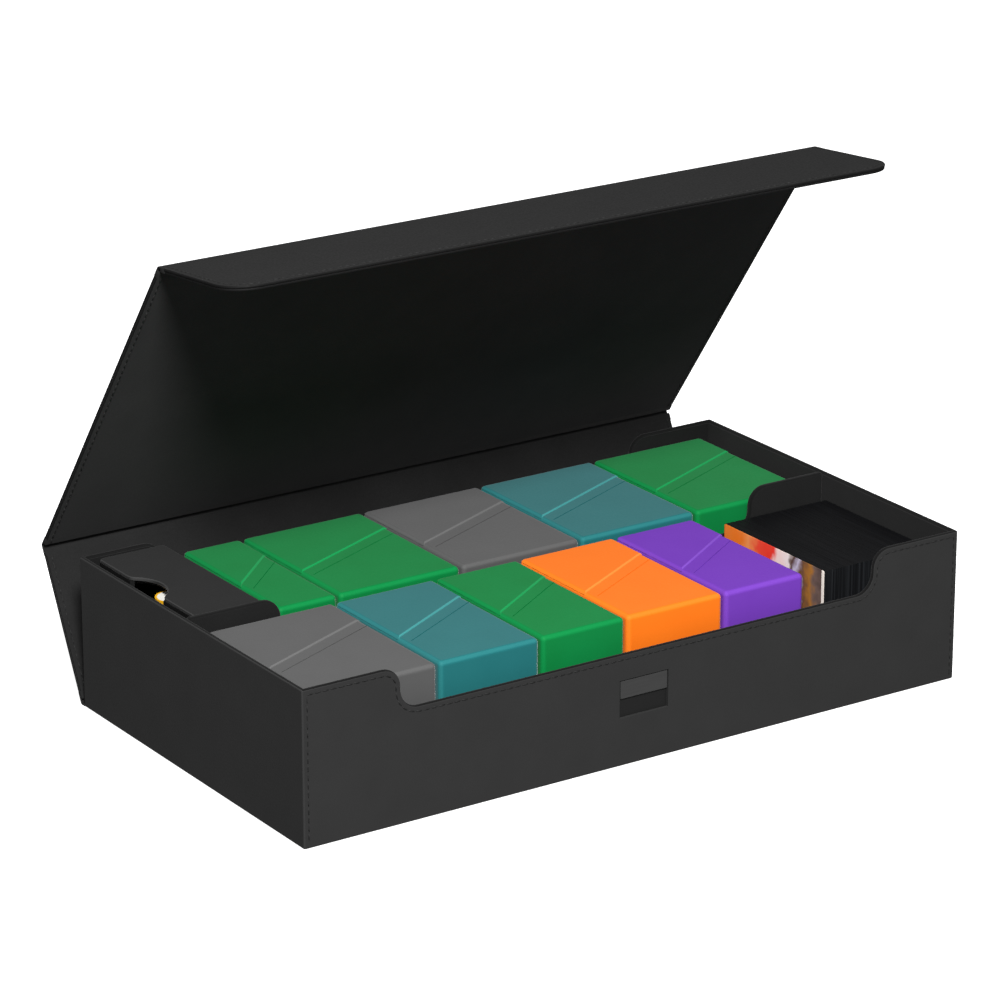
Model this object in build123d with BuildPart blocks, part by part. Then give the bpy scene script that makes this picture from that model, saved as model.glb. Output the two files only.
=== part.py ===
from build123d import *
import os
from math import cos, radians, sin

# A card storage box: wrapped boards, two rows, a lid of three folding panels that stands open,
# and the tray, inner boxes and cards that stand in the rows. Millimetres.
# The origin is the middle of the underside, +X runs along the front, +Y to the back, +Z up.

os.makedirs("parts", exist_ok=True)

# Outer box
box_length = 425.0
box_depth = 233.0
box_height = 88.0
wall_board = 2.6
base_board = 3.0
row_floor = 4.0
lining = 0.6
lining_edge = 1.4

# Row divider, and the dips of the front wall, the divider and the back wall
divider_board = 4.0
divider_setback = 4.0
raised_end = 59.3
divider_right_end = 54.6
back_left_end = 50.0
dip_depth = 24.0
dip_bend = 11.0
dip_bend_limit_share = 0.48

# Catch on the front wall
catch_width = 31.3
catch_height = 21.3
catch_bottom = 27.8
catch_bar_height = 10.4
catch_back = 0.8
catch_liner_board = 0.5
catch_set_in = 0.2
catch_fit = 0.15

# Lid of three panels, with its folds as the photograph leaves them, in degrees
panel_board = 3.0
fold_clearance = 1.3
fold_gap = 0.3
fold_tongue = 1.0
spine_lean = 26.5
lid_turn = 62.1
flap_turn = 49.2
flap_reach = 75.2
flap_corner = 18.5
lining_margin = 1.5
lining_fit = 0.1

# Magnets in the flap and the front wall
magnet_length = 20.0
magnet_width = 8.0
magnet_thickness = 1.2
magnet_fit = 0.1
magnet_reach = 50.0
magnet_count = 4
magnet_spacing = 100.0

# Accessory tray and its lid
tray_width = 40.6
tray_wall = 2.0
tray_corner = 2.5
tray_side_gap = 6.5
tray_end_gap = 0.9
tray_headroom = 1.8
tray_lid_board = 2.2
tray_lid_lip = 2.0
tray_lid_fit = 0.3
thumb_depth = 10.0
thumb_radius = 21.2
thumb_flare = 6.0
thumb_well = 14.0

# Inner boxes
inner_headroom = 8.0
inner_round = 2.8
inner_front_gap = 1.8
inner_back_gap = 1.5
front_row_back_gap = 3.0
front_row_side_gap = 8.1
front_row_gap = 1.7
back_row_gap = 1.6
back_row_end_gap = 7.4
tray_to_box_gap = 11.2
thin_box = 36.5
slim_box = 53.2
teal_box = 62.4
orange_box = 62.6
wide_box_count = 4
cover_board = 1.4
cover_step = 0.6
cover_left_share = 0.391
cover_right_share = 0.720

# Sleeved cards
card_board = 0.8
card_space = 19.8
card_front_gap = 16.4
card_back_gap = 6.9
card_headroom = 14.0
stack_end_gap = 2.8
packet_count = 8
packet_gap = 0.15
packet_slip = 0.7
packet_slip_shares = (0.0, 0.6, 0.2, 1.0, 0.4, 0.1, 0.8, 0.3)

overrun = 5.0

# Places that the pieces share
half_length = box_length / 2
half_depth = box_depth / 2
inner_x = half_length - wall_board - lining
front_inner = -half_depth + wall_board + lining
back_inner = half_depth - wall_board - lining
divider_front = divider_setback - divider_board / 2
divider_back = divider_setback + divider_board / 2
floor_top = base_board + row_floor
dip_level = box_height - dip_depth
dip_round = min(dip_bend, dip_bend_limit_share * dip_depth)


def keep(piece, name):
    """Labels a finished piece and writes it under its name."""
    piece.part.label = name
    export_step(piece.part, f"parts/{name}.step")


def dipped_outline(length, bottom, top, left_end=raised_end, right_end=raised_end):
    """Outline of a wall with a low middle, raised ends and a round bend at each change of height."""
    dip_left = -half_length + left_end
    dip_right = half_length - right_end
    with BuildSketch() as outline:
        with BuildLine():
            Polyline(
                (-length / 2, bottom),
                (length / 2, bottom),
                (length / 2, top),
                (dip_right, top),
                (dip_right, dip_level),
                (dip_left, dip_level),
                (dip_left, top),
                (-length / 2, top),
                close=True,
            )
        make_face()
        fillet(outline.vertices().filter_by_position(Axis.X, dip_left, dip_right), radius=dip_round)
    return outline.sketch


# Base board: lies between the walls, and its underside is what the box stands on
with BuildPart() as base:
    with BuildSketch():
        Rectangle(box_length - 2 * wall_board, box_depth - 2 * wall_board)
    extrude(amount=base_board)
keep(base, "base_board")

# Front wall: the catch recess is sunk into its outer face, the keeper pockets into its inner face
spine_axis = (half_depth + fold_clearance + panel_board / 2, panel_board / 2)
closed_lid_level = box_height + fold_clearance + panel_board / 2
keeper_height = closed_lid_level - magnet_reach
catch_middle = catch_bottom + catch_height / 2
catch_depth = wall_board - catch_back
front_wall_inner_plane = Plane.XZ.offset(half_depth - wall_board)
catch_floor_plane = Plane.XZ.offset(half_depth - catch_depth)

with BuildPart() as front_wall:
    with BuildSketch(front_wall_inner_plane):
        add(dipped_outline(box_length, 0, box_height))
    extrude(amount=wall_board)
    with BuildSketch(catch_floor_plane):
        with Locations((0, catch_middle)):
            Rectangle(catch_width, catch_height)
    extrude(amount=catch_depth, mode=Mode.SUBTRACT)
    with BuildSketch(front_wall_inner_plane):
        with Locations((0, keeper_height)):
            with GridLocations(magnet_spacing, magnet_spacing, magnet_count, 1):
                Rectangle(magnet_length, magnet_width)
    extrude(amount=magnet_thickness, mode=Mode.SUBTRACT)
keep(front_wall, "front_wall")

# Keeper magnets: flat bars that fill the pockets behind the front lining
with BuildPart() as keepers:
    with BuildSketch(front_wall_inner_plane):
        with Locations((0, keeper_height)):
            with GridLocations(magnet_spacing, magnet_spacing, magnet_count, 1):
                Rectangle(magnet_length - 2 * magnet_fit, magnet_width - 2 * magnet_fit)
    extrude(amount=magnet_thickness)
keep(keepers, "keeper_magnets")

# Catch liner: thin plate on the floor of the recess
with BuildPart() as catch_liner:
    with BuildSketch(catch_floor_plane):
        with Locations((0, catch_middle)):
            Rectangle(catch_width - 2 * catch_fit, catch_height - 2 * catch_fit)
    extrude(amount=catch_liner_board)
keep(catch_liner, "catch_liner")

# Catch bar: stands on the liner over the upper half of the recess, just under flush
with BuildPart() as catch_bar:
    with BuildSketch(catch_floor_plane.offset(catch_liner_board)):
        with Locations((0, catch_bottom + catch_height - catch_fit)):
            Rectangle(catch_width - 2 * catch_fit, catch_bar_height, align=(Align.CENTER, Align.MAX))
    extrude(amount=catch_depth - catch_liner_board - catch_set_in)
keep(catch_bar, "catch_bar")

# Back wall: the front's outline, with a shorter raised end behind the tray
with BuildPart() as back_wall:
    with BuildSketch(Plane.XZ.offset(-half_depth)):
        add(dipped_outline(box_length, 0, box_height, left_end=back_left_end))
    extrude(amount=wall_board)
keep(back_wall, "back_wall")

# Side walls: full height, between the front and back walls, each with its lining
side_span = box_depth - 2 * wall_board
side_lining_top = box_height - lining_edge
for side, wall_start, lining_start in (
    ("left", -half_length, -half_length + wall_board),
    ("right", half_length - wall_board, inner_x),
):
    with BuildPart() as side_wall:
        with BuildSketch(Plane.YZ.offset(wall_start)):
            Rectangle(side_span, box_height, align=(Align.CENTER, Align.MIN))
        extrude(amount=wall_board)
    keep(side_wall, f"{side}_wall")

    with BuildPart() as side_lining:
        with BuildSketch(Plane.YZ.offset(lining_start)):
            with Locations((0, base_board)):
                Rectangle(side_span, side_lining_top - base_board, align=(Align.CENTER, Align.MIN))
        extrude(amount=lining)
    keep(side_lining, f"{side}_lining")

# Front and back linings: the walls' outline, set in by the lining's edge, between the side linings
lining_span = 2 * inner_x + 2 * lining_edge
for end, lining_plane, left_end in (
    ("front", Plane.XZ.offset(-front_inner), raised_end),
    ("back", Plane.XZ.offset(-back_inner - lining), back_left_end),
):
    with BuildPart() as end_lining:
        with BuildSketch(lining_plane):
            add(dipped_outline(lining_span, base_board - lining_edge, box_height, left_end=left_end))
            offset(amount=-lining_edge, kind=Kind.INTERSECTION)
        extrude(amount=lining)
    keep(end_lining, f"{end}_lining")

# Row divider: stands on the base board, with the walls' dip and a shorter raised end at the right
with BuildPart() as divider:
    with BuildSketch(Plane.XZ.offset(-divider_back)):
        add(dipped_outline(2 * inner_x, base_board, box_height, right_end=divider_right_end))
    extrude(amount=divider_board)
keep(divider, "row_divider")

# Row floors: lined boards on the base board, one on each side of the divider
for row, row_start, row_end in (
    ("front", front_inner, divider_front),
    ("back", divider_back, back_inner),
):
    with BuildPart() as floor_piece:
        with BuildSketch(Plane.XY.offset(base_board)):
            with Locations((0, row_start)):
                Rectangle(2 * inner_x, row_end - row_start, align=(Align.CENTER, Align.MIN))
        extrude(amount=row_floor)
    keep(floor_piece, f"{row}_row_floor")


# Lid: three panels in a chain of folds, each fold a round bead on its axis
fold_radius = panel_board / 2
fold_start = fold_radius + fold_gap
spine_span = box_height + fold_clearance
lid_span = box_depth + 2 * fold_clearance + panel_board
spine_angle = 90 - spine_lean
lid_angle = spine_angle + lid_turn
flap_angle = lid_angle + flap_turn


def along(pivot, angle, reach):
    """The point at a distance from a fold's axis, in the direction of a panel, as (y, z)."""
    return (pivot[0] + reach * cos(radians(angle)), pivot[1] + reach * sin(radians(angle)))


def panel_plane(pivot, angle):
    """The middle plane of a panel: local y runs away from its fold, local z to its inner face."""
    normal = (0, -sin(radians(angle)), cos(radians(angle)))
    return Plane(origin=(0, pivot[0], pivot[1]), x_dir=(1, 0, 0), z_dir=normal)


lid_axis = along(spine_axis, spine_angle, spine_span)
flap_axis = along(lid_axis, lid_angle, lid_span)


def lined_panel(name, plane, end, corner):
    """A wrapped board from its fold to its far end, and the lining let into its inner face."""
    with BuildPart() as board:
        with BuildSketch(plane.offset(-panel_board / 2)) as outline:
            with Locations((0, fold_start)):
                Rectangle(box_length, end - fold_start, align=(Align.CENTER, Align.MIN))
            if corner:
                fillet(outline.vertices().group_by(Axis.Y)[-1], radius=corner)
        extrude(amount=panel_board)
        with BuildSketch(plane.offset(panel_board / 2)):
            add(outline.sketch_local)
            offset(amount=-lining_margin)
        extrude(amount=-lining, mode=Mode.SUBTRACT)
        if name == "flap":
            with BuildSketch(plane.offset(panel_board / 2 - lining)):
                with Locations((0, magnet_reach)):
                    with GridLocations(magnet_spacing, magnet_spacing, magnet_count, 1):
                        Rectangle(magnet_length, magnet_width)
            extrude(amount=-magnet_thickness, mode=Mode.SUBTRACT)
    keep(board, f"{name}_panel")

    with BuildPart() as sheet:
        with BuildSketch(plane.offset(panel_board / 2 - lining)):
            add(outline.sketch_local)
            offset(amount=-lining_margin - lining_fit)
        extrude(amount=lining)
    keep(sheet, f"{name}_lining")


def fold_bead(name, axis, angle):
    """A fold's bead, with a tongue that meets the end of the panel that carries it."""
    with BuildPart() as bead:
        with BuildSketch(Plane.YZ.offset(-half_length)):
            with Locations(axis):
                Circle(fold_radius)
                Rectangle(fold_start, fold_tongue, rotation=angle, align=(Align.MAX, Align.CENTER))
        extrude(amount=box_length)
    keep(bead, name)


# Spine hinge: the bead along the bottom back edge, with a foot against the back wall
with BuildPart() as spine_hinge:
    with BuildSketch(Plane.YZ.offset(-half_length)):
        with Locations(spine_axis):
            Circle(fold_radius)
            Rectangle(fold_radius + fold_clearance, fold_radius, align=(Align.MAX, Align.MAX))
    extrude(amount=box_length)
keep(spine_hinge, "spine_hinge")

lined_panel("spine", panel_plane(spine_axis, spine_angle), spine_span - fold_start, 0)
fold_bead("lid_hinge", lid_axis, spine_angle)
lined_panel("lid", panel_plane(lid_axis, lid_angle), lid_span - fold_start, 0)
fold_bead("flap_hinge", flap_axis, lid_angle)
flap_plane = panel_plane(flap_axis, flap_angle)
lined_panel("flap", flap_plane, flap_reach, flap_corner)

# Flap magnets: flat bars under the flap's lining, opposite the keepers when the flap is shut
with BuildPart() as flap_magnets:
    with BuildSketch(flap_plane.offset(panel_board / 2 - lining)):
        with Locations((0, magnet_reach)):
            with GridLocations(magnet_spacing, magnet_spacing, magnet_count, 1):
                Rectangle(magnet_length - 2 * magnet_fit, magnet_width - 2 * magnet_fit)
    extrude(amount=-magnet_thickness)
keep(flap_magnets, "flap_magnets")

# Accessory tray: an open box at the left end of the back row, with a thumb dip in its left wall
tray_left = -inner_x + tray_side_gap
tray_right = tray_left + tray_width
tray_front = divider_back + tray_end_gap
tray_back = back_inner - tray_end_gap
tray_length = tray_back - tray_front
tray_centre = (tray_left + tray_width / 2, tray_front + tray_length / 2)
tray_lid_top = box_height - tray_headroom
tray_rim = tray_lid_top - tray_lid_board
thumb_centre = (tray_left + thumb_depth - thumb_radius, tray_centre[1])

with BuildPart() as tray:
    with BuildSketch(Plane.XY.offset(floor_top)):
        with Locations(tray_centre):
            RectangleRounded(tray_width, tray_length, tray_corner)
    extrude(amount=tray_rim - floor_top)
    offset(amount=-tray_wall, openings=tray.faces().sort_by(Axis.Z)[-1])
    with BuildSketch(Plane.XY.offset(tray_rim)):
        with Locations(thumb_centre):
            Circle(thumb_radius)
    extrude(amount=-thumb_well, mode=Mode.SUBTRACT)
keep(tray, "tray_box")

# Tray lid: a plate with a thumb notch, and a lip that drops inside the tray's walls
lip_inset = tray_wall + tray_lid_fit
with BuildPart() as tray_lid:
    with BuildSketch(Plane.XY.offset(tray_rim)) as plate:
        with Locations(tray_centre):
            RectangleRounded(tray_width, tray_length, tray_corner)
        corners = plate.vertices()
        with Locations(thumb_centre):
            Circle(thumb_radius, mode=Mode.SUBTRACT)
        fillet(plate.vertices() - corners, radius=thumb_flare)
    extrude(amount=tray_lid_board)
    with BuildSketch(Plane.XY.offset(tray_rim)):
        with Locations(tray_centre):
            Rectangle(tray_width - 2 * lip_inset, tray_length - 2 * lip_inset)
        with Locations(thumb_centre):
            Circle(thumb_radius + lip_inset, mode=Mode.SUBTRACT)
    extrude(amount=-tray_lid_lip)
keep(tray_lid, "tray_lid")


# Inner boxes: a round-edged case, and a cover whose diagonal edge crosses the top from side to side
inner_top = box_height - inner_headroom
inner_length = back_inner - inner_back_gap - divider_back - inner_front_gap
cover_seat = inner_top - cover_board


def round_block(left, front, width, top):
    """A block with round upright and top edges."""
    with BuildPart() as block:
        with BuildSketch(Plane.XY.offset(floor_top)):
            with Locations((left, front)):
                Rectangle(width, inner_length, align=(Align.MIN, Align.MIN))
        extrude(amount=top - floor_top)
        fillet(block.edges() - block.faces().sort_by(Axis.Z)[0].edges(), radius=inner_round)
    return block.part


def inner_box(name, left, front, width):
    """One inner box: its case, and the cover that lies on the case behind the diagonal."""
    slope = (cover_right_share - cover_left_share) * inner_length / width
    start = front + cover_left_share * inner_length
    behind = front + inner_length + overrun
    with BuildSketch(Plane.XY.offset(cover_seat)) as cover_area:
        with BuildLine():
            Polyline(
                (left - overrun, start - slope * overrun),
                (left + width + overrun, start + slope * (width + overrun)),
                (left + width + overrun, behind),
                (left - overrun, behind),
                close=True,
            )
        make_face()

    with BuildPart() as case:
        add(round_block(left, front, width, inner_top - cover_step))
        extrude(cover_area.sketch, amount=cover_board, mode=Mode.SUBTRACT)
    keep(case, f"{name}_case")

    with BuildPart() as cover:
        add(round_block(left, front, width, inner_top))
        extrude(cover_area.sketch, amount=cover_board, mode=Mode.INTERSECT)
    keep(cover, f"{name}_cover")


# Widths: the wide boxes share what the tray and the thin box leave of the back row
back_row_start = tray_right + tray_to_box_gap
back_row_end = inner_x - back_row_end_gap
wide_run = back_row_end - back_row_start - thin_box - wide_box_count * back_row_gap
wide_box = wide_run / wide_box_count

front_row = (
    ("front_grey", wide_box),
    ("front_teal", teal_box),
    ("front_green", slim_box),
    ("front_orange", orange_box),
    ("front_purple", slim_box),
)
back_row = (
    ("back_thin_green", thin_box),
    ("back_green", wide_box),
    ("back_grey", wide_box),
    ("back_teal", wide_box),
    ("back_end_green", wide_box),
)


def box_row(row, start, front, gap):
    """Stands a row of inner boxes side by side and gives the place where the row ends."""
    left = start
    for name, width in row:
        inner_box(name, left, front, width)
        left = left + width + gap
    return left - gap


front_row_start = -inner_x + front_row_side_gap
front_row_front = divider_front - front_row_back_gap - inner_length
front_boxes_end = box_row(front_row, front_row_start, front_row_front, front_row_gap)
box_row(back_row, back_row_start, divider_back + inner_front_gap, back_row_gap)

# Cards: they stand on their long edges at the right end of the front row, the front card by itself
stack_start = front_boxes_end + card_space
stack_run = inner_x - stack_end_gap - stack_start - card_board
packet_pitch = stack_run / packet_count
card_back = divider_front - card_back_gap
card_long = card_back - front_inner - card_front_gap
card_short = box_height - card_headroom - floor_top

with BuildPart() as front_card:
    with BuildSketch(Plane.YZ.offset(stack_start)):
        with Locations((card_back, floor_top)):
            Rectangle(card_long, card_short, align=(Align.MAX, Align.MIN))
    extrude(amount=card_board - packet_gap)
keep(front_card, "front_card")

with BuildPart() as cards:
    for packet in range(packet_count):
        slip = packet_slip * packet_slip_shares[packet % len(packet_slip_shares)]
        with BuildSketch(Plane.YZ.offset(stack_start + card_board + packet * packet_pitch)):
            with Locations((card_back - slip, floor_top)):
                Rectangle(card_long, card_short - slip, align=(Align.MAX, Align.MIN))
        extrude(amount=packet_pitch - packet_gap)
keep(cards, "sleeved_cards")
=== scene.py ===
from math import atan2, cos, degrees, pi, radians, sin

import bmesh
import bpy
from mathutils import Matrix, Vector


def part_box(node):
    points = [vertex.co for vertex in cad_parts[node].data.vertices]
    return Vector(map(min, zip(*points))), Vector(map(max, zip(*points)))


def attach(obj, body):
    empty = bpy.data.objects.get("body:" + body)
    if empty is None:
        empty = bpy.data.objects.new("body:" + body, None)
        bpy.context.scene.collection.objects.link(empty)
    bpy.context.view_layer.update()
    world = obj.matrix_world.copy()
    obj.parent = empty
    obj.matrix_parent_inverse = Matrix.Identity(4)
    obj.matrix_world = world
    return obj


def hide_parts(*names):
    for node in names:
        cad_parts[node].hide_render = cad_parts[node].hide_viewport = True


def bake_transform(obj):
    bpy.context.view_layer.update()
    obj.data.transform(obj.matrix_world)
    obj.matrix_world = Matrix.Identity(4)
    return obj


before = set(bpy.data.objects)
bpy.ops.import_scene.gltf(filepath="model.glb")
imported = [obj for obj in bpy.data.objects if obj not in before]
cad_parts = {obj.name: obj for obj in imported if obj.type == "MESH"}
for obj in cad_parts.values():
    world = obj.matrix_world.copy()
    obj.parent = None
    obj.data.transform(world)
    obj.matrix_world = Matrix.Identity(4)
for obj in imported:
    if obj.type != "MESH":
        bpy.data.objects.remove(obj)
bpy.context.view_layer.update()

# Outer walls: four greyboard sides, wrapped in black leatherette outside and in microfibre over their tops,
# where the microfibre is made darker as painted shade.
# The front and back dip in the middle between round shoulders, and the catch's recess is cut in the front.
mm = 0.001
near = 0.02 * mm
wall_corner, wall_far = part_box("front_wall")
half_length, half_depth, box_height = wall_far.x, -wall_corner.y, wall_far.z
wall_board = wall_far.y - wall_corner.y
dip_level, dip_bend, bend_steps = 64.0 * mm, 11.0 * mm, 9
front_dip, back_dip = (-153.2 * mm, 153.2 * mm), (-162.5 * mm, 153.2 * mm)
wall_edge, recess_edge = 1.0 * mm, 0.35 * mm
smooth_below = radians(35)


def block(name, low, high):
    """A cube primitive pulled to the box between two corners, with its place in its mesh."""
    low, high = Vector(low), Vector(high)
    bpy.ops.object.select_all(action="DESELECT")
    bpy.ops.mesh.primitive_cube_add(size=1, location=(low + high) / 2)
    piece = bpy.context.object
    piece.name = name
    piece.scale = high - low
    bpy.ops.object.transform_apply(location=True, rotation=True, scale=True)
    return piece


def pick(piece, kind, test):
    """Selects, in edit mode, the points, edges or faces whose middle and direction pass a test."""
    bpy.ops.object.mode_set(mode="EDIT")
    bpy.ops.mesh.select_mode(type=kind)
    bpy.ops.mesh.select_all(action="DESELECT")
    shape = bmesh.from_edit_mesh(piece.data)
    if kind == "FACE":
        for face in shape.faces:
            face.select_set(test(face.calc_center_median(), face.normal))
    elif kind == "EDGE":
        for edge in shape.edges:
            first, last = (point.co for point in edge.verts)
            edge.select_set(test((first + last) / 2, (last - first).normalized()))
    else:
        for point in shape.verts:
            point.select_set(test(point.co, point.normal))
    shape.select_flush_mode()
    bmesh.update_edit_mesh(piece.data)


def choose(*pieces):
    """Selects some pieces and nothing else, in object mode, and makes the first of them active."""
    if bpy.context.object.mode == "EDIT":
        bpy.ops.object.mode_set(mode="OBJECT")
    bpy.ops.object.select_all(action="DESELECT")
    for piece in pieces:
        piece.select_set(True)
    bpy.context.view_layer.objects.active = pieces[0]


def apply_modifier(piece, kind, **settings):
    """Adds a modifier to a piece with its settings and applies it."""
    choose(piece)
    bpy.ops.object.modifier_add(type=kind)
    modifier = piece.modifiers[-1]
    for setting, value in settings.items():
        setattr(modifier, setting, value)
    bpy.ops.object.modifier_apply(modifier=modifier.name)


def ease(piece, width, segments):
    """Rounds a piece's sharp edges by a width."""
    apply_modifier(piece, "BEVEL", width=width, segments=segments, limit_method="ANGLE",
                   angle_limit=radians(40))


def cut_away(piece, cutter, operation="DIFFERENCE"):
    """Cuts a shape out of a piece, or keeps only what lies in it, and throws the cutter away."""
    apply_modifier(piece, "BOOLEAN", operation=operation, object=cutter, solver="EXACT")
    bpy.data.objects.remove(cutter)


def soft_shade(piece):
    """Smooth shading whose normals follow the large faces, so that flat boards stay flat."""
    choose(piece)
    bpy.ops.object.shade_smooth_by_angle(angle=smooth_below)
    apply_modifier(piece, "WEIGHTED_NORMAL", keep_sharp=True, weight=100)


def mark_painted_highlight(piece, strength=lambda point: 1.0):
    """Marks rounded edges with a strength for the leatherette's painted highlight, and flat faces with 0,
    while the piece's sides follow the axes.
    """
    flat_from, lean_from, lean_gain = 0.998, 0.03, 9.6
    shape = piece.data
    marks = shape.attributes.new("edge", "FLOAT", "CORNER")
    for face in shape.polygons:
        flat = max(abs(part) for part in face.normal) > flat_from
        for corner, point in zip(face.loop_indices, face.vertices):
            lean = 1 - max(abs(part) for part in shape.vertices[point].normal)
            rounded = 0 if flat else min(max((lean - lean_from) * lean_gain, 0), 1)
            marks.data[corner].value = rounded * strength(shape.vertices[point].co)


walls = block("walls", (-half_length, -half_depth, 0), (half_length, half_depth, box_height))
pick(walls, "FACE", lambda middle, way: abs(way.z) > 0.5)
bpy.ops.mesh.delete(type="FACE")
for side, (left, right) in ((-1, front_dip), (1, back_dip)):
    for cut in (left, right):
        pick(walls, "FACE", lambda middle, way: way.y * side > 0.5)
        bpy.ops.mesh.bisect(plane_co=(cut, 0, 0), plane_no=(1, 0, 0))
    pick(walls, "FACE", lambda middle, way: way.y * side > 0.5 and left < middle.x < right)
    bpy.ops.mesh.bisect(plane_co=(0, 0, dip_level), plane_no=(0, 0, 1))
    pick(walls, "FACE", lambda middle, way: way.y * side > 0.5 and left < middle.x < right
         and middle.z > dip_level)
    bpy.ops.mesh.delete(type="FACE")
    pick(walls, "FACE", lambda middle, way: way.y * side > 0.5)
    bpy.ops.mesh.dissolve_faces()
    pick(walls, "VERT", lambda point, way: point.y * side > 0 and left - near < point.x < right + near
         and point.z < near)
    bpy.ops.mesh.dissolve_verts()
    pick(walls, "VERT", lambda point, way: point.y * side > 0 and left - near < point.x < right + near)
    bpy.ops.mesh.bevel(offset=dip_bend, segments=bend_steps, affect="VERTICES")
apply_modifier(walls, "SOLIDIFY", thickness=wall_board, offset=-1, use_even_offset=True)
ease(walls, wall_edge, segments=3)
# Painted highlight on the back and end walls' rounded edges; the front's edges get none.
mark_painted_highlight(walls, lambda point: 1.0 if point.y > 0 or abs(point.x) > half_length - 2 * wall_edge else 0.0)

catch_half, catch_bottom, catch_top, catch_depth = 15.65 * mm, 27.8 * mm, 49.1 * mm, 1.8 * mm
cut_away(walls, block("catch_cutter", (-catch_half, -half_depth - catch_depth, catch_bottom),
                      (catch_half, -half_depth + catch_depth, catch_top)))
pick(walls, "EDGE", lambda middle, way: abs(middle.y + half_depth) < near
     and abs(middle.x) < catch_half + near and catch_bottom - near < middle.z < catch_top + near)
bpy.ops.mesh.bevel(offset=recess_edge, segments=2, affect="EDGES")
soft_shade(walls)


def linear(colour):
    """An sRGB hex colour as linear red, green, blue and a full alpha."""
    parts = [int(colour[at:at + 2], 16) / 255 for at in (1, 3, 5)]
    return (*(part / 12.92 if part <= 0.04045 else ((part + 0.055) / 1.055) ** 2.4 for part in parts), 1)


def fill(material, node, inputs):
    """Sets a node's inputs, or links them where an input is another node's output."""
    for socket, value in inputs.items():
        if isinstance(value, bpy.types.NodeSocket):
            material.node_tree.links.new(value, node.inputs[socket])
        else:
            node.inputs[socket].default_value = value


def add(material, kind, inputs, **settings):
    """Adds a node to a material or to the world, with its settings and its inputs."""
    made = material.node_tree.nodes.new(kind)
    for setting, value in settings.items():
        setattr(made, setting, value)
    fill(material, made, inputs)
    return made


def new_material(name):
    """A new material, the place on the piece that its patterns follow, and its shader."""
    material = bpy.data.materials.new(name)
    material.use_nodes = True
    place = add(material, "ShaderNodeTexCoord", {}).outputs["Object"]
    return material, place, material.node_tree.nodes["Principled BSDF"]


def leatherette(name, colour, shade, edge, grain_height=0.05 * mm, sheen=0.0):
    """Embossed PU leatherette: a matte skin with a fine pebble grain and a faint cloudy tone, and a painted
    highlight in the edge colour where rounded edges carry the 'edge' mark. The real grain is about 0.6 mm;
    it is drawn at 1.3 mm so that it shows."""
    material, place, skin = new_material(name)
    cloud = add(material, "ShaderNodeTexNoise", {"Vector": place, "Scale": 1 / (22 * mm), "Detail": 3.0})
    tone = add(material, "ShaderNodeMix", {"Factor": cloud.outputs["Fac"], "A": linear(shade),
                                           "B": linear(colour)}, data_type="RGBA")
    # Painted highlight: the 'edge' mark blends the skin towards the paler edge colour on rounded edges.
    painted_highlight_share = add(material, "ShaderNodeAttribute", {}, attribute_name="edge")
    with_painted_highlight = add(material, "ShaderNodeMix", {"Factor": painted_highlight_share.outputs["Fac"], "A": tone.outputs["Result"],
                                            "B": linear(edge)}, data_type="RGBA")
    grain = add(material, "ShaderNodeTexVoronoi", {"Vector": place, "Scale": 1 / (1.3 * mm),
                                                   "Smoothness": 0.6}, feature="SMOOTH_F1")
    fine = add(material, "ShaderNodeTexNoise", {"Vector": place, "Scale": 1 / (0.5 * mm), "Detail": 2.0})
    relief = add(material, "ShaderNodeMath", {0: grain.outputs["Distance"], 1: fine.outputs["Fac"]},
                 operation="ADD")
    matte = add(material, "ShaderNodeMapRange", {"Value": grain.outputs["Distance"], "From Max": 0.7,
                                                 "To Min": 0.5, "To Max": 0.66})
    bump = add(material, "ShaderNodeBump", {"Height": relief.outputs[0], "Distance": grain_height,
                                            "Strength": 0.6})
    fill(material, skin, {"Base Color": with_painted_highlight.outputs["Result"], "Roughness": matte.outputs["Result"],
                          "Normal": bump.outputs["Normal"], "IOR": 1.47, "Specular IOR Level": 0.12,
                          "Sheen Weight": sheen, "Sheen Roughness": 0.4})
    return material


def microfibre(name, colour, shade):
    """Brushed microfibre: a short dense pile that takes nearly all light and shows a faint sheen at low
    angles. The pile is far finer than a pixel, so its flecks are drawn at 0.9 mm."""
    material, place, pile = new_material(name)
    brushed = add(material, "ShaderNodeTexNoise", {"Vector": place, "Scale": 1 / (35 * mm), "Detail": 4.0})
    fleck = add(material, "ShaderNodeTexNoise", {"Vector": place, "Scale": 1 / (0.9 * mm), "Detail": 3.0})
    both = add(material, "ShaderNodeMath", {0: brushed.outputs["Fac"], 1: fleck.outputs["Fac"]},
               operation="MULTIPLY")
    share = add(material, "ShaderNodeMapRange", {"Value": both.outputs[0], "From Min": 0.1, "From Max": 0.45})
    tone = add(material, "ShaderNodeMix", {"Factor": share.outputs["Result"], "A": linear(shade),
                                           "B": linear(colour)}, data_type="RGBA")
    bump = add(material, "ShaderNodeBump", {"Height": fleck.outputs["Fac"], "Distance": 0.08 * mm,
                                            "Strength": 0.5})
    fill(material, pile, {"Base Color": tone.outputs["Result"], "Normal": bump.outputs["Normal"],
                          "Roughness": 0.95, "Specular IOR Level": 0.15, "Sheen Weight": 0.08,
                          "Sheen Roughness": 0.5})
    return material


wall_microfibre = microfibre("wall_microfibre", "#1c1c1c", "#151515")
# A darker copy of the wall microfibre, given to the walls' tops and the divider's edge as painted shade.
painted_shade_microfibre = microfibre("painted_shade_microfibre", "#131313", "#0f0f0f")
# Its edge colour, a little paler than the skin, is a painted highlight on the marked edges.
black_leatherette = leatherette("black_leatherette", "#343434", "#2f2f2f", "#373737")
wrap_over, front_wrap_over, lining_over = 0.6 * mm, 0.15 * mm, 0.3 * mm


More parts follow.
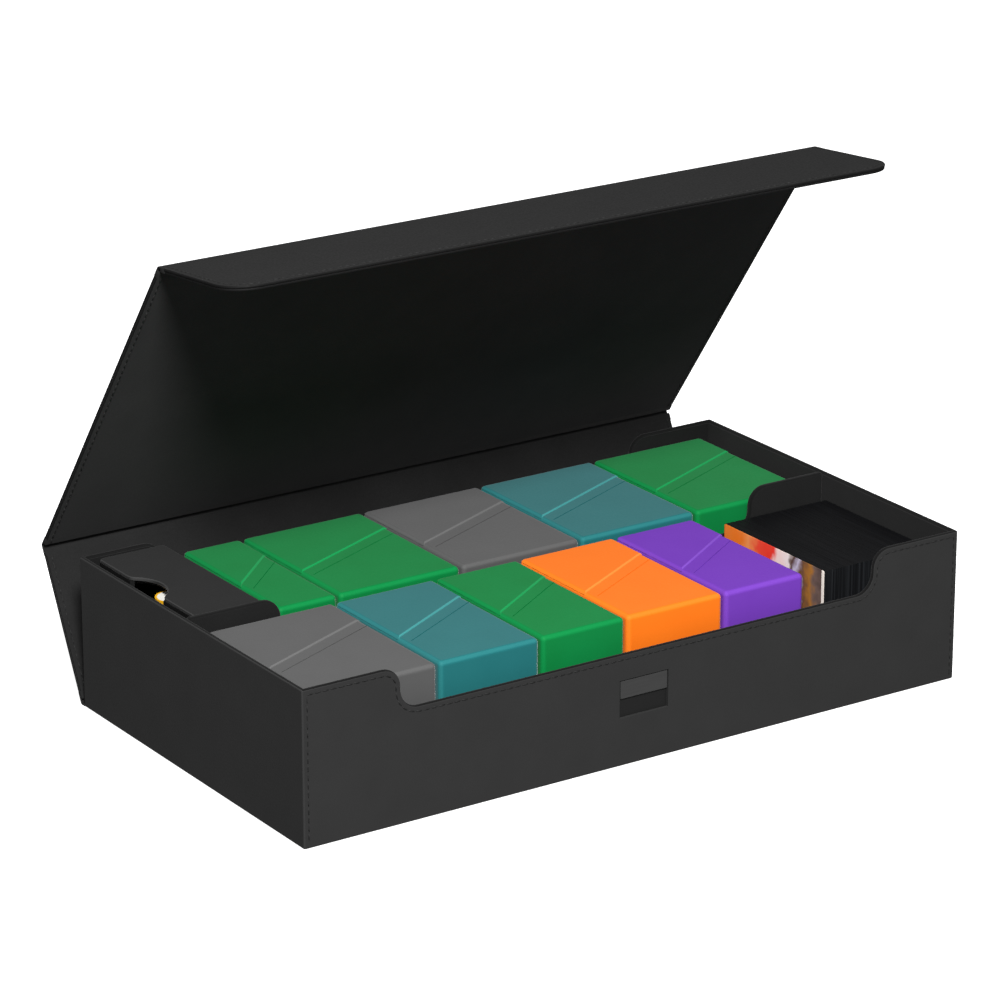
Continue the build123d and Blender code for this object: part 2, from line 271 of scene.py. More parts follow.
def lined(middle):
    """Whether a face of the walls lies inside the leatherette's edge and outside the catch's recess."""
    in_recess = (middle.y < catch_depth - half_depth + near and abs(middle.x) < catch_half + near
                 and middle.z < catch_top + near)
    return (not in_recess and abs(middle.x) < half_length - wrap_over
            and front_wrap_over - half_depth < middle.y < half_depth - wrap_over)


def on_top(middle):
    """Whether a face of the walls lies on their top edge, between the outer and the inner faces."""
    return (abs(middle.x) > half_length - wall_board + lining_over
            or abs(middle.y) > half_depth - wall_board + lining_over)


def finish_faces(piece, index, test):
    """Gives the faces that pass a test one of the piece's materials, by its place in the piece's list."""
    pick(piece, "FACE", test)
    piece.active_material_index = index
    bpy.ops.object.material_slot_assign()
    bpy.ops.object.mode_set(mode="OBJECT")


walls.data.materials.append(black_leatherette)
walls.data.materials.append(wall_microfibre)
walls.data.materials.append(painted_shade_microfibre)
finish_faces(walls, 1, lambda middle, way: lined(middle))
# Painted shade: the walls' tops get the darker microfibre.
finish_faces(walls, 2, lambda middle, way: lined(middle) and on_top(middle))
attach(walls, "box")
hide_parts("front_wall", "back_wall", "left_wall", "right_wall")

# Base board: greyboard under the same leatherette, let in between the walls and glued to them.
# Its flat CAD shape is right as it is.


def dress(node, material):
    """Gives a piece that keeps its CAD shape its material."""
    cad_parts[node].data.materials.clear()
    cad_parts[node].data.materials.append(material)


dress("base_board", black_leatherette)

# Linings and row floors: thin sheets of black microfibre glued to the walls and to the loose floor boards.
# Their flat CAD shapes are right, and the short brushed pile is in the material.
for sheet in ("front_lining", "back_lining", "left_lining", "right_lining",
              "front_row_floor", "back_row_floor"):
    dress(sheet, wall_microfibre)

# Row divider: a board covered in the walls' microfibre on both sides, with the darker microfibre over its
# edge as painted shade, standing on the base.
# It has the walls' dip and round shoulders, with a soft edge where the pile is folded over.
divider_corner, divider_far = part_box("row_divider")
divider_dip, divider_edge = (-153.2 * mm, 157.9 * mm), 1.3 * mm


def arc(centre, radius, start, end, steps):
    """Points along an arc, by its centre, radius and start and end angles in degrees."""
    turns = [radians(start + (end - start) * step / steps) for step in range(steps + 1)]
    return [(centre[0] + radius * cos(turn), centre[1] + radius * sin(turn)) for turn in turns]


def board(name, outline, low, high):
    """A board cut to an outline: a circle primitive with its points on the outline, pulled to a thickness."""
    bpy.ops.object.select_all(action="DESELECT")
    bpy.ops.mesh.primitive_circle_add(vertices=len(outline), fill_type="NGON")
    piece = bpy.context.object
    piece.name = name
    for point, (across, along) in zip(piece.data.vertices, outline):
        point.co = (across, along, low)
    bpy.ops.object.mode_set(mode="EDIT")
    bpy.ops.mesh.select_all(action="SELECT")
    bpy.ops.mesh.extrude_region_move(TRANSFORM_OT_translate={"value": (0, 0, high - low)})
    bpy.ops.mesh.select_all(action="SELECT")
    bpy.ops.mesh.normals_make_consistent(inside=False)
    bpy.ops.object.mode_set(mode="OBJECT")
    return piece


def stand(piece, turns, place=(0, 0)):
    """Turns a flat piece by angles about X, Y and Z and moves it to its place in Y and Z, into its mesh."""
    choose(piece)
    piece.rotation_euler = [radians(turn) for turn in turns]
    piece.location = (0, *place)
    bpy.ops.object.transform_apply(location=True, rotation=True, scale=True)


def dipped_edge(dip, inset, steps):
    """The dipped top edge of a wall from left to right, set in from the edge, as (x, z) points."""
    left, right = dip
    shoulder, foot = dip_bend - inset, dip_bend + inset
    points = arc((left - dip_bend, box_height - dip_bend), shoulder, 90, 0, steps)
    points += arc((left + dip_bend, dip_level + dip_bend), foot, 180, 270, steps)
    points += arc((right - dip_bend, dip_level + dip_bend), foot, 270, 360, steps)
    points += arc((right + dip_bend, box_height - dip_bend), shoulder, 180, 90, steps)
    return points


divider_outline = [(divider_corner.x, divider_corner.z), (divider_corner.x, divider_far.z)]
divider_outline += dipped_edge(divider_dip, 0, bend_steps)
divider_outline += [(divider_far.x, divider_far.z), (divider_far.x, divider_corner.z)]
divider = board("divider", divider_outline, -divider_far.y, -divider_corner.y)
stand(divider, (90, 0, 0))
ease(divider, divider_edge, segments=3)
soft_shade(divider)
divider.data.materials.append(wall_microfibre)
divider.data.materials.append(painted_shade_microfibre)
finish_faces(divider, 1, lambda middle, way:
             divider_corner.y + lining_over < middle.y < divider_far.y - lining_over)
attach(divider, "box")
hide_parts("row_divider")

# Catch: a dark pressed liner on the floor of the recess and a paler satin bar over its upper half.
# The bar is a stamped plate with eased edges and a shallow pressed field, glued to the liner.
bar_corner, bar_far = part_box("catch_bar")
bar_play, bar_edge, field_inset, field_depth = 0.35 * mm, 0.25 * mm, 0.9 * mm, 0.12 * mm


def satin_plate(name, colour, shade, rough):
    """Satin lacquered metal: a stamped plate with a faint brushed line, drawn at 0.8 mm so that it shows."""
    material, place, plate = new_material(name)
    pulled = add(material, "ShaderNodeMapping", {"Vector": place, "Scale": (0.05, 1.0, 1.0)})
    line = add(material, "ShaderNodeTexNoise", {"Vector": pulled.outputs["Vector"], "Scale": 1 / (0.8 * mm),
                                                "Detail": 2.0})
    tone = add(material, "ShaderNodeMix", {"Factor": line.outputs["Fac"], "A": linear(shade),
                                           "B": linear(colour)}, data_type="RGBA")
    bump = add(material, "ShaderNodeBump", {"Height": line.outputs["Fac"], "Distance": 0.02 * mm,
                                            "Strength": 0.4})
    fill(material, plate, {"Base Color": tone.outputs["Result"], "Normal": bump.outputs["Normal"],
                           "Roughness": rough, "Specular IOR Level": 0.3})
    return material


bar = block("bar", (bar_corner.x + bar_play, bar_corner.y, bar_corner.z),
            (bar_far.x - bar_play, bar_far.y, bar_far.z - bar_play))
pick(bar, "FACE", lambda middle, way: way.y < -0.5)
bpy.ops.mesh.inset(thickness=field_inset, depth=-field_depth)
ease(bar, bar_edge, segments=2)
soft_shade(bar)
bar.data.materials.append(satin_plate("catch_bar_lacquer", "#404040", "#383838", 0.5))
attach(bar, "box")
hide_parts("catch_bar")
dress("catch_liner", satin_plate("catch_liner_lacquer", "#1b1b1b", "#161616", 0.6))

# Magnets: flat nickel plated bars, let into the front wall and the flap and covered by their linings.
# They hold the lid shut and can't be seen, so their CAD shapes are right as they are.
nickel = satin_plate("nickel_plate", "#b9b6ae", "#a5a29a", 0.3)
nickel.node_tree.nodes["Principled BSDF"].inputs["Metallic"].default_value = 1.0
dress("keeper_magnets", nickel)
dress("flap_magnets", nickel)

# Lid panels: three boards in a wrap of leatherette, each with a thinner sheet of lined board glued to its
# inner face, so that a fine groove runs round the edge. The sides of the edges are near-black, and the flap's
# free corners are round.
panel_half, sheet_seat, set_in = 1.5 * mm, 0.3 * mm, 0.35 * mm
panel_edge, lining_edge, corner_steps = 0.8 * mm, 0.45 * mm, 10
fold_reach = 6.0 * mm
spine_axis, spine_angle, spine_span = (119.3 * mm, 1.5 * mm), 63.5, 89.3 * mm
lid_axis, lid_angle, lid_span = (159.145 * mm, 81.418 * mm), 125.6, 238.6 * mm
flap_axis, flap_angle, flap_reach, flap_corner = (20.251 * mm, 275.423 * mm), 174.8, 75.2 * mm, 18.5 * mm
lid_boards = (("spine", spine_axis, spine_angle, spine_span - fold_reach, 0),
              ("lid", lid_axis, lid_angle, lid_span - fold_reach, 0),
              ("flap", flap_axis, flap_angle, flap_reach, flap_corner))


def panel_outline(end, corner, inset):
    """A panel's outline from its fold to its far end, set in from its free edges, with any round corners."""
    half = half_length - inset
    if not corner:
        return [(-half, fold_reach), (half, fold_reach), (half, end), (-half, end)]
    end, corner = end - inset, corner - inset
    right = arc((half - corner, end - corner), corner, 0, 90, corner_steps)
    left = arc((corner - half, end - corner), corner, 90, 180, corner_steps)
    return [(-half, fold_reach), (half, fold_reach)] + right + left


# The lid's leatherette is a darker copy of the walls', as painted shade; its paler edge colour is a painted
# highlight on the marked edges.
lid_shaded_leatherette = leatherette("lid_shaded_leatherette", "#2a2a2a", "#262626", "#343434")
lid_microfibre = microfibre("lid_microfibre", "#242424", "#1a1a1a")
# The spine's lining is a lighter copy of the lid's microfibre: painted light.
spine_lit_microfibre = microfibre("spine_lit_microfibre", "#282828", "#1f1f1f")
# The sides of the boards' edges get this near-black skin; its slightly paler edge colour is a faint painted
# highlight.
near_black_edges = leatherette("near_black_edges", "#141414", "#111111", "#191919")
lining_of = {"box": lid_microfibre, "spine": spine_lit_microfibre, "lid": lid_microfibre, "flap": lid_microfibre}
for body, pivot, angle, end, corner in lid_boards:
    for layer, inset, low, high, edge in (("panel", 0, -panel_half, sheet_seat, panel_edge),
                                          ("lining", set_in, sheet_seat, panel_half, lining_edge)):
        made = board(f"{body}_{layer}_wrapped", panel_outline(end, corner, inset), low, high)
        pick(made, "EDGE", lambda middle, way: abs(way.z) < 0.5 and abs(middle.y - fold_reach) > near
             and (corner > 0 or abs(middle.y - end) > near))
        bpy.ops.mesh.bevel(offset=edge, segments=3, affect="EDGES")
        bpy.ops.object.mode_set(mode="OBJECT")
        mark_painted_highlight(made)
        soft_shade(made)
        for finish in (lid_shaded_leatherette, lining_of[body], near_black_edges):
            made.data.materials.append(finish)
        finish_faces(made, 1, lambda middle, way: layer == "lining" and way.z > 0.9)
        finish_faces(made, 2, lambda middle, way: abs(way.z) < 0.8)
        stand(made, (angle, 0, 0), pivot)
        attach(made, body)
        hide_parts(f"{body}_{layer}")

# Folds: between the boards the leatherette alone bridges the gap, as a thin web on the outer side.
# Inside, the ends of the two boards leave a narrow groove.
web, board_end, groove_ease, fold_edge = 0.8 * mm, 1.8 * mm, 0.5 * mm, 0.35 * mm
lining_from, bend, fold_steps = -1.0 * mm, 1.0 * mm, 8


def on_panel(angle, reach, off):
    """A point of a leaning panel from its fold's axis, by its reach and its height off the panel's middle."""
    turn = radians(angle)
    return reach * cos(turn) - off * sin(turn), reach * sin(turn) + off * cos(turn)


def fold(name, pivot, before, after, parent, child, foot):
    """One fold from board to board, bent as in the open lid; one with a foot starts at the back wall."""
    outline = [on_panel(before, -(foot or fold_reach), -panel_half)]
    outline += arc((0, 0), panel_half, before - 90, after - 90, fold_steps)
    outline += [on_panel(after, reach, off) for reach, off in (
        (fold_reach, -panel_half), (fold_reach, panel_half), (board_end + groove_ease, panel_half),
        (board_end, panel_half - groove_ease), (board_end, web - panel_half))]
    outline += arc((0, 0), panel_half - web, after - 90, before - 90, fold_steps)
    if foot:
        outline += [on_panel(before, -foot, web - panel_half)]
    else:
        outline += [on_panel(before, -reach, off) for reach, off in (
            (board_end, web - panel_half), (board_end, panel_half - groove_ease),
            (board_end + groove_ease, panel_half), (fold_reach, panel_half))]
    piece = board(name, outline, -half_length, half_length)
    stand(piece, (90, 0, 90), pivot)
    pick(piece, "EDGE", lambda middle, way: abs(middle.x) > half_length - near)
    bpy.ops.mesh.bevel(offset=fold_edge, segments=2, affect="EDGES")
    bpy.ops.object.mode_set(mode="OBJECT")
    bpy.ops.object.shade_smooth_by_angle(angle=smooth_below)

    def in_panel(middle, angle):
        """A face's reach along a panel from the fold's axis, and its height above the panel's middle."""
        across, up, turn = middle.y - pivot[0], middle.z - pivot[1], radians(angle)
        return across * cos(turn) + up * sin(turn), up * cos(turn) - across * sin(turn)

    def inside(middle, way):
        """Whether a face is on the fold's inner side, where the lining runs on."""
        return (abs(way.x) < 0.5
                and min(in_panel(middle, before)[1], in_panel(middle, after)[1]) > lining_from)

    for finish in (lid_shaded_leatherette, lining_of[parent], lining_of[child]):
        piece.data.materials.append(finish)
    finish_faces(piece, 1, inside)
    finish_faces(piece, 2, lambda middle, way: inside(middle, way) and in_panel(middle, after)[0] > 0)
    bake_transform(piece)
    return piece


for name, pivot, before, after, parent, child, foot in (
        ("spine_fold", spine_axis, 0, spine_angle, "box", "spine", spine_axis[0] - half_depth),
        ("lid_fold", lid_axis, spine_angle, lid_angle, "spine", "lid", 0),
        ("flap_fold", flap_axis, lid_angle, flap_angle, "lid", "flap", 0)):
    folded = fold(name, pivot, before, after, parent, child, foot)
    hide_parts(name.replace("fold", "hinge"))

# Stitching: one row of dark bonded thread round the front's edge and the lid's, sewn through the wrap.
# Each stitch is a short spindle of thread, half sunk, laid along its seam with an even pitch.
thread, stitch, pitch = 0.8 * mm, 3.6 * mm, 4.7 * mm
taper_from, taper = 0.4, 0.55
front_inset, edge_inset, seam_foot, seam_steps = 3.0 * mm, 3.2 * mm, 5.0 * mm, 8


def sewing_thread(name, colour, shade):
    """Bonded polyester thread: a waxy twist. Its ply is far finer than a pixel, so it is drawn as a slanted
    band about every 3.5 mm, which makes the stitches a little uneven in tone."""
    material, place, twist = new_material(name)
    ply = add(material, "ShaderNodeTexWave", {"Vector": place, "Scale": 1 / (5.6 * mm), "Distortion": 1.0},
              bands_direction="DIAGONAL")
    tone = add(material, "ShaderNodeMix", {"Factor": ply.outputs["Fac"], "A": linear(shade),
                                           "B": linear(colour)}, data_type="RGBA")
    bump = add(material, "ShaderNodeBump", {"Height": ply.outputs["Fac"], "Distance": 0.05 * mm,
                                            "Strength": 0.5})
    fill(material, twist, {"Base Color": tone.outputs["Result"], "Normal": bump.outputs["Normal"],
                           "Roughness": 0.6, "Specular IOR Level": 0.15})
    return material


dark_thread = sewing_thread("dark_thread", "#2e2e2e", "#232323")


def seam(name, path, body):
    """A row of stitches along a path of points."""
    line = bpy.data.curves.new(name, "CURVE")
    line.dimensions = "3D"
    run = line.splines.new("POLY")
    run.points.add(len(path) - 1)
    for point, place in zip(run.points, path):
        point.co = (*place, 1)
    guide = bpy.data.objects.new(f"{name}_guide", line)
    bpy.context.scene.collection.objects.link(guide)
    bpy.ops.object.select_all(action="DESELECT")
    bpy.ops.mesh.primitive_cylinder_add(vertices=6, radius=thread / 2, depth=stitch, end_fill_type="TRIFAN",
                                        location=(stitch / 2, 0, 0), rotation=(0, pi / 2, 0))
    row = bpy.context.object
    row.name = name
    bpy.ops.object.transform_apply(location=True, rotation=True, scale=True)
    pick(row, "EDGE", lambda middle, way: abs(way.x) > 0.9)
    bpy.ops.mesh.subdivide(number_cuts=2)
    pick(row, "VERT", lambda point, way: abs(point.x - stitch / 2) > taper_from * stitch)
    bpy.ops.transform.resize(value=(1, taper, taper))
    bpy.ops.object.mode_set(mode="OBJECT")
    apply_modifier(row, "ARRAY", fit_type="FIT_CURVE", curve=guide, use_relative_offset=False,
                   use_constant_offset=True, constant_offset_displace=(pitch, 0, 0))
    apply_modifier(row, "CURVE", object=guide, deform_axis="POS_X")
    bpy.data.objects.remove(guide)
    bpy.ops.object.shade_smooth()
    row.data.materials.append(dark_thread)
    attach(row, body)


front_path = [(front_inset - half_length, seam_foot), (front_inset - half_length, box_height - front_inset)]
front_path += dipped_edge(front_dip, front_inset, seam_steps)
front_path += [(half_length - front_inset, box_height - front_inset), (half_length - front_inset, seam_foot)]
seam("front_stitching", [(across, -half_depth, up) for across, up in front_path], "box")

for body, pivot, angle, end, corner in lid_boards:
    for face, off in (("outer", -panel_half), ("inner", panel_half)):
        placed = []
        for across, reach in panel_outline(end, corner, edge_inset):
            along, up = on_panel(angle, reach, off)
            placed.append((across, pivot[0] + along, pivot[1] + up))
        if corner:
            seam(f"{body}_{face}_stitching", placed[1:] + placed[:1], body)
        else:
            seam(f"{body}_{face}_right_stitching", placed[1:3], body)
            seam(f"{body}_{face}_left_stitching", [placed[3], placed[0]], body)

# Accessory tray: a rigid box in smooth leatherette with a loose lid, which has a thumb notch on its left.
# The tray's open CAD shape is right; the lid is a plate with eased edges and a lip that drops in the rim.
tray_corner, tray_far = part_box("tray_lid")
# Its edge colour, much paler than the skin, is a painted highlight on the lid's marked edges.
tray_leatherette = leatherette("tray_leatherette", "#2a2a2a", "#262626", "#404040", sheen=0.1)
dress("tray_box", leatherette("tray_body", "#1d1d1d", "#191919", "#242424"))
plate_thick, plate_round, plate_edge = 2.2 * mm, 2.5 * mm, 0.6 * mm
lip_inset, lip_round, lip_edge = 2.3 * mm, 0.8 * mm, 0.3 * mm
thumb_at, thumb_radius, thumb_flare = (-214.0 * mm, 59.65 * mm), 21.2 * mm, 6.0 * mm
round_steps, flare_steps = 4, 6


def tray_outline(inset, corner, flare):
    """The tray lid's outline, set in from its edge; the thumb notch's ends flare into the left edge."""
    left, right = tray_corner.x + inset, tray_far.x - inset
    front, back = tray_corner.y + inset, tray_far.y - inset
    notch = thumb_radius + inset
    over = left + flare - thumb_at[0]
    reach = ((notch + flare) ** 2 - over ** 2) ** 0.5
    lean = degrees(atan2(reach, over))
    points = arc((left + corner, front + corner), corner, 180, 270, round_steps)
    points += arc((right - corner, front + corner), corner, 270, 360, round_steps)
    points += arc((right - corner, back - corner), corner, 0, 90, round_steps)
    points += arc((left + corner, back - corner), corner, 90, 180, round_steps)
    points += arc((left + flare, thumb_at[1] + reach), flare, 180, 180 + lean, flare_steps)
    points += arc(thumb_at, notch, lean, -lean, 3 * flare_steps)[1:-1]
    points += arc((left + flare, thumb_at[1] - reach), flare, 180 - lean, 180, flare_steps)
    return points


plate = board("tray_cover", tray_outline(0, plate_round, thumb_flare), tray_far.z - plate_thick, tray_far.z)
ease(plate, plate_edge, segments=3)
mark_painted_highlight(plate)
lip = board("tray_cover_lip", tray_outline(lip_inset, lip_round, lip_round), tray_corner.z,
            tray_far.z - plate_thick)
ease(lip, lip_edge, segments=2)
choose(plate, lip)
bpy.ops.object.join()
soft_shade(plate)
plate.data.materials.append(tray_leatherette)
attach(plate, "tray_lid")
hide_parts("tray_lid")

# Counters: a stack of plain round counters, punched from matte card, white with a yellow rim.
# They stand loose in the tray, and the top one shows in the thumb notch.
counter_at, counter_radius, counter_board = (-188.6 * mm, 57.0 * mm), 9.5 * mm, 2.49 * mm
counter_rim, counter_gap = 1.2 * mm, 0.02 * mm
stack_floor, stack_count = 9.1 * mm, 28
bpy.ops.object.select_all(action="DESELECT")
bpy.ops.mesh.primitive_cylinder_add(vertices=24, radius=counter_radius, depth=counter_board - counter_gap,
                                    location=(*counter_at, stack_floor + counter_board / 2))
counters = bpy.context.object
counters.name = "counters"
bpy.ops.object.transform_apply(location=True, rotation=True, scale=True)
for name, colour in (("counter_white", "#f4f2ea"), ("counter_yellow", "#f0b41c")):
    card_board = bpy.data.materials.new(name)
    card_board.use_nodes = True
    card_board.node_tree.nodes["Principled BSDF"].inputs["Base Color"].default_value = linear(colour)
    counters.data.materials.append(card_board)
pick(counters, "FACE", lambda middle, way: abs(way.z) > 0.5)
bpy.ops.mesh.inset(thickness=counter_rim)
finish_faces(counters, 1, lambda middle, way:
             Vector((middle.x - counter_at[0], middle.y - counter_at[1])).length > counter_rim)
apply_modifier(counters, "ARRAY", count=stack_count, use_relative_offset=False, use_constant_offset=True,
               constant_offset_displace=(0, 0, counter_board))
bpy.ops.object.shade_smooth_by_angle(angle=smooth_below)
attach(counters, "tray")

# Inner boxes: small stiff boxes in coloured leatherette with soft round edges, standing loose in the rows.
# The cover wraps over from the back to a slanting edge, and a pressed crease runs along in front of it.
cover_left, cover_right = 0.391, 0.720
round_edge, round_highlight, cover_edge = 2.8 * mm, 0.25, 1.2 * mm
crease_ahead, crease_width, crease_depth, crease_stop = 8.0 * mm, 0.6 * mm, 0.35 * mm, 4.2 * mm
overcut = 1.0 * mm


def rounded_block(name, low, high):
    """A block with every edge but the bottom ones rounded and faintly marked for the painted highlight."""
    piece = block(name, low, high)
    pick(piece, "EDGE", lambda middle, way: middle.z > low[2] + near)
    bpy.ops.mesh.bevel(offset=round_edge, segments=6, affect="EDGES")
    bpy.ops.object.mode_set(mode="OBJECT")
    mark_painted_highlight(piece, lambda point: round_highlight)
    return piece


def inner_box(name, finish, pressed):
    """One inner box: a shell with a seat for the cover and a pressed crease, and the cover on its seat."""
    low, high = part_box(f"{name}_case")
    cover_low, cover_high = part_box(f"{name}_cover")
    length, width = high.y - low.y, high.x - low.x
    slope = (cover_right - cover_left) * length / width
    start = low.y + cover_left * length

    def past_edge(middle):
        """How far a point lies behind the cover's slanting edge."""
        return middle.y - start - slope * (middle.x - low.x)

    behind = [(low.x - overcut, start - slope * overcut),
              (high.x + overcut, start + slope * (width + overcut)),
              (high.x + overcut, high.y + overcut), (low.x - overcut, high.y + overcut)]
    shell = rounded_block(f"{name}_shell", low, high)
    cut_away(shell, board("seat_cutter", behind, cover_low.z, cover_high.z + overcut))
    ahead = -crease_ahead * (1 + slope ** 2) ** 0.5
    crease = [(across, start + slope * (across - low.x) + ahead)
              for across in (low.x + crease_stop, high.x + overcut)]
    crease += [(across, along + crease_width) for across, along in reversed(crease)]
    cut_away(shell, board("crease_cutter", crease, high.z - crease_depth, high.z + overcut))
    shell.data.materials.append(finish)
    shell.data.materials.append(pressed)
    finish_faces(shell, 1, lambda middle, way: high.z - 2 * crease_depth < middle.z < high.z - near
                 and ahead - near < past_edge(middle) < ahead + crease_width + near)

    cover = rounded_block(f"{name}_top", low, (high.x, high.y, cover_high.z + near))
    wedge = board("cover_wedge", behind, cover_low.z, cover_high.z)
    pick(wedge, "EDGE", lambda middle, way: middle.z > cover_high.z - near and abs(past_edge(middle)) < near)
    bpy.ops.mesh.bevel(offset=cover_edge, segments=4, affect="EDGES")
    bpy.ops.object.mode_set(mode="OBJECT")
    # The cover's slanting edge gets the full painted highlight.
    mark_painted_highlight(wedge)
    cut_away(cover, wedge, "INTERSECT")
    cover.data.materials.append(finish)
    for piece, node in ((shell, f"{name}_case"), (cover, f"{name}_cover")):
        soft_shade(piece)
        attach(piece, f"{name}_box")
        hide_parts(node)


box_grain = 0.03 * mm
# The edge column is the colour of the painted highlight on rounded edges; bloom is the sheen weight.
for colour, light, dark, edge, bloom, names in (
        ("green", "#038340", "#027a38", "#149a52", 0.2,
         ("front_green", "back_thin_green", "back_green", "back_end_green")),
        ("teal", "#1f7073", "#196a6d", "#3f9494", 0.4, ("front_teal", "back_teal")),
        ("grey", "#5a5a5a", "#545454", "#6c6c6c", 0.35, ("front_grey", "back_grey")),
        ("orange", "#ff7d17", "#fa7612", "#ff9038", 0.2, ("front_orange",)),
        ("purple", "#7740ba", "#713ab4", "#8450c6", 0.05, ("front_purple",))):
    finish = leatherette(f"{colour}_leatherette", light, dark, edge, grain_height=box_grain, sheen=bloom)
    # In the crease the sheen is left out, and where the crease crosses a rounded edge the painted highlight
    # gives way to the darker tone: painted shade.
    pressed = leatherette(f"{colour}_crease", light, dark, dark, grain_height=box_grain)
    for name in names:
        inner_box(name, finish, pressed)

# Cards: one shows its face at the left of the row, and about a hundred stand behind it in black sleeves.
# A sleeve is two plastic films welded round the edge, so its ends are thin, and no two stand quite level.
card_corner, card_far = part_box("front_card")
pack_corner, pack_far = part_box("sleeved_cards")
card_round, card_edge, card_border, card_steps = 1.2 * mm, 0.15 * mm, 1.8 * mm, 5


def card_face(name, border, bands):
    """Coated card stock: a thin cream border at the front end of a printed field of soft warm bands."""
    material, place, stock = new_material(name)
    cloud = add(material, "ShaderNodeTexNoise", {"Vector": place, "Scale": 1 / (9 * mm), "Detail": 2.0})
    along = add(material, "ShaderNodeSeparateXYZ", {0: place})
    share = add(material, "ShaderNodeMapRange", {"Value": along.outputs["Y"], "From Min": card_corner.y,
                                                 "From Max": card_far.y, "To Min": -0.1, "To Max": 0.9})
    waved = add(material, "ShaderNodeMath", {0: cloud.outputs["Fac"], 1: 0.2, 2: share.outputs["Result"]},
                operation="MULTIPLY_ADD")
    field = add(material, "ShaderNodeValToRGB", {"Fac": waved.outputs[0]})
    for at, colour in bands[1:-1]:
        field.color_ramp.elements.new(at)
    for stop, (at, colour) in zip(field.color_ramp.elements, bands):
        stop.position, stop.color = at, linear(colour)
    edge = add(material, "ShaderNodeMath", {0: along.outputs["Y"], 1: card_corner.y + card_border},
               operation="LESS_THAN")
    face = add(material, "ShaderNodeMix", {"Factor": edge.outputs[0], "A": field.outputs["Color"],
                                           "B": linear(border)}, data_type="RGBA")
    fill(material, stock, {"Base Color": face.outputs["Result"], "Roughness": 0.4})
    return material


low, high = card_corner, card_far
corners = arc((low.y + card_round, low.z + card_round), card_round, 180, 270, card_steps)
corners += arc((high.y - card_round, low.z + card_round), card_round, 270, 360, card_steps)
corners += arc((high.y - card_round, high.z - card_round), card_round, 0, 90, card_steps)
corners += arc((low.y + card_round, high.z - card_round), card_round, 90, 180, card_steps)
card = board("face_card", corners, low.x, high.x)
stand(card, (90, 0, 90))
ease(card, card_edge, segments=2)
bpy.ops.object.shade_smooth_by_angle(angle=smooth_below)
card.data.materials.append(card_face("coated_card", "#eee4da", (
    (0.0, "#3c3030"), (0.08, "#6e5a50"), (0.14, "#a8702c"), (0.2, "#6a4a34"), (0.25, "#c4bcd0"),
    (0.3, "#54382c"), (0.35, "#f0e4e0"), (0.45, "#f8d8d0"), (0.52, "#ee3a2a"), (0.64, "#f04c34"),
    (0.74, "#f49a58"), (0.86, "#f47a22"), (1.0, "#f08030"))))
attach(card, "cards")
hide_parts("front_card")


def sleeve_film(name, light, dark):
    """Matte black polypropylene film: each sleeve takes the light a little differently, as it stands.
    The noise is stretched up the sleeves, so that it changes from one to the next and not along one."""
    material, place, film = new_material(name)
    pulled = add(material, "ShaderNodeMapping", {"Vector": place, "Scale": (1.0, 0.02, 0.01)})
    apart = add(material, "ShaderNodeTexNoise", {"Vector": pulled.outputs["Vector"],
                                                 "Scale": 1 / (1.1 * mm), "Detail": 1.0})
    streak = add(material, "ShaderNodeMapRange", {"Value": apart.outputs["Fac"], "From Min": 0.45,
                                                  "From Max": 0.8})
    tone = add(material, "ShaderNodeMix", {"Factor": streak.outputs["Result"], "A": linear(dark),
                                           "B": linear(light)}, data_type="RGBA")
    fill(material, film, {"Base Color": tone.outputs["Result"], "Roughness": 0.5, "Specular IOR Level": 0.2})
    return material


sleeve_count = 96
sleeve_pitch = (pack_far.x - pack_corner.x) / sleeve_count
sleeve_half, weld_half, weld = 0.49 * sleeve_pitch, 0.42 * sleeve_pitch, 0.9 * mm
slip_out, slip_down, out_step, down_step = 0.5 * mm, 0.15 * mm, 0.618, 0.377
front_end, back_end, top_end = pack_corner.y + slip_out, pack_far.y, pack_far.z
sleeve = block("sleeves", (pack_corner.x, front_end, pack_corner.z + slip_down),
               (pack_corner.x + 2 * sleeve_half, back_end, top_end))
for cut, way in (((0, front_end + weld, 0), (0, 1, 0)), ((0, back_end - weld, 0), (0, 1, 0)),
                 ((0, 0, top_end - weld), (0, 0, 1))):
    pick(sleeve, "FACE", lambda middle, normal: True)
    bpy.ops.mesh.bisect(plane_co=cut, plane_no=way)
pick(sleeve, "VERT", lambda point, way: point.z > top_end - near or point.y > back_end - near
     or point.y < front_end + near)
bpy.ops.transform.resize(value=(weld_half / sleeve_half, 1, 1),
                         center_override=(pack_corner.x + sleeve_half, 0, 0))
bpy.ops.object.mode_set(mode="OBJECT")
sleeve.data.materials.append(sleeve_film("sleeve_film", "#2b2d30", "#141517"))
# The sleeves' tops get a darker film than their sides: painted shade.
sleeve.data.materials.append(sleeve_film("sleeve_top_painted_shade", "#0f0f11", "#0a0a0c"))
finish_faces(sleeve, 1, lambda middle, way: way.z > 0.5)
stack = [sleeve]
for count in range(1, sleeve_count):
    choose(sleeve)
    bpy.ops.object.duplicate(linked=False)
    copy = bpy.context.object
    out, down = (count * out_step) % 1, (count * count * down_step) % 1
    copy.location = (count * sleeve_pitch, -slip_out * out ** 3, -slip_down * down ** 2)
    bpy.ops.object.transform_apply(location=True, rotation=True, scale=True)
    stack.append(copy)
choose(*stack)
bpy.ops.object.join()
bpy.ops.object.shade_smooth_by_angle(angle=smooth_below)
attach(sleeve, "cards")
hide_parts("sleeved_cards")

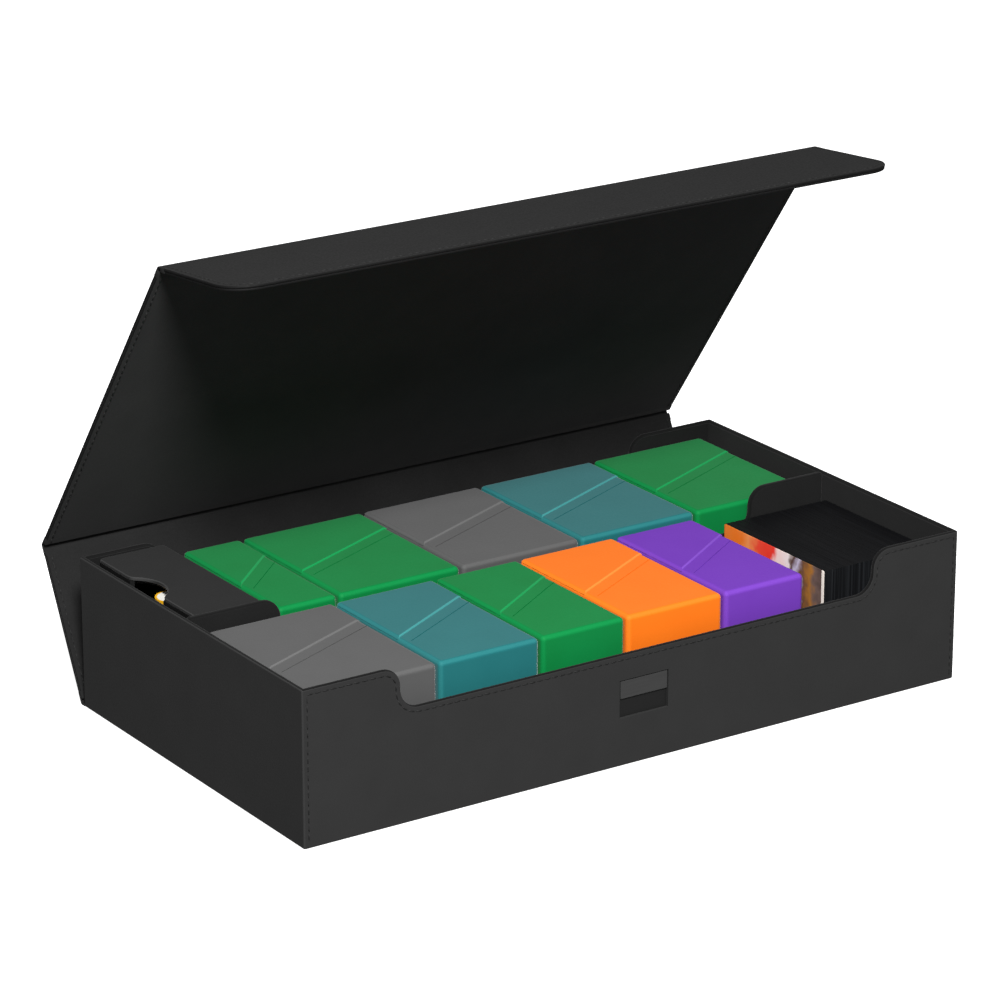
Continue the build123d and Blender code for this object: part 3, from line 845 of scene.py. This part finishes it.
# Studio: a plain white floor that only the camera sees, a soft grey surround that is a little brighter in
# front, a broad key light high on the camera's side, a weaker one low behind that gives no gloss, and the
# camera at the photograph's angle.
floor_size, floor_level = 8.0, -0.3 * mm
bpy.ops.mesh.primitive_plane_add(size=floor_size, location=(0, 0, floor_level))
floor = bpy.context.object
floor.name = "floor"
floor_white = bpy.data.materials.new("floor_white")
floor_white.use_nodes = True
fill(floor_white, floor_white.node_tree.nodes["Principled BSDF"], {
    "Base Color": linear("#f4f4f4"), "Roughness": 0.9, "Emission Color": (1, 1, 1, 1),
    "Emission Strength": 0.9})
floor.data.materials.append(floor_white)
floor.visible_diffuse = False
floor.visible_glossy = False

scene = bpy.context.scene
scene.world = bpy.data.worlds.new("studio_surround")
scene.world.use_nodes = True
around = add(scene.world, "ShaderNodeTexCoord", {})
axes = add(scene.world, "ShaderNodeSeparateXYZ", {0: around.outputs["Generated"]})
glow = add(scene.world, "ShaderNodeMapRange", {"Value": axes.outputs["Y"], "From Min": -0.7, "From Max": 0.5,
                                               "To Min": 0.32, "To Max": 0.18})
fill(scene.world, scene.world.node_tree.nodes["Background"], {"Color": (1, 1, 1, 1),
                                                              "Strength": glow.outputs["Result"]})
scene.view_settings.view_transform = "Standard"

light_distance = 2.5
for name, energy, size, way, glossy in (("key_light", 80.0, 0.6, (-0.36, -0.6, 0.715), True),
                                        ("back_light", 45.0, 0.8, (0.3, 0.95, 0.03), False)):
    lamp = bpy.data.lights.new(name, "AREA")
    lamp.energy, lamp.shape, lamp.size = energy, "DISK", size
    light = bpy.data.objects.new(name, lamp)
    light.location = Vector(way).normalized() * light_distance
    light.rotation_euler = Vector(way).to_track_quat("Z", "Y").to_euler()
    light.visible_glossy = glossy
    scene.collection.objects.link(light)

camera_fall, camera_turn = 19.6593, -33.6768
camera = bpy.data.cameras.new("camera")
camera.lens, camera.sensor_width, camera.clip_end = 162.78, 36.0, 20.0
viewer = bpy.data.objects.new("camera", camera)
viewer.location = (-1.3025, -1.9327, 0.9460)
viewer.rotation_euler = (radians(90 - camera_fall), 0, radians(camera_turn))
scene.collection.objects.link(viewer)
scene.camera = viewer
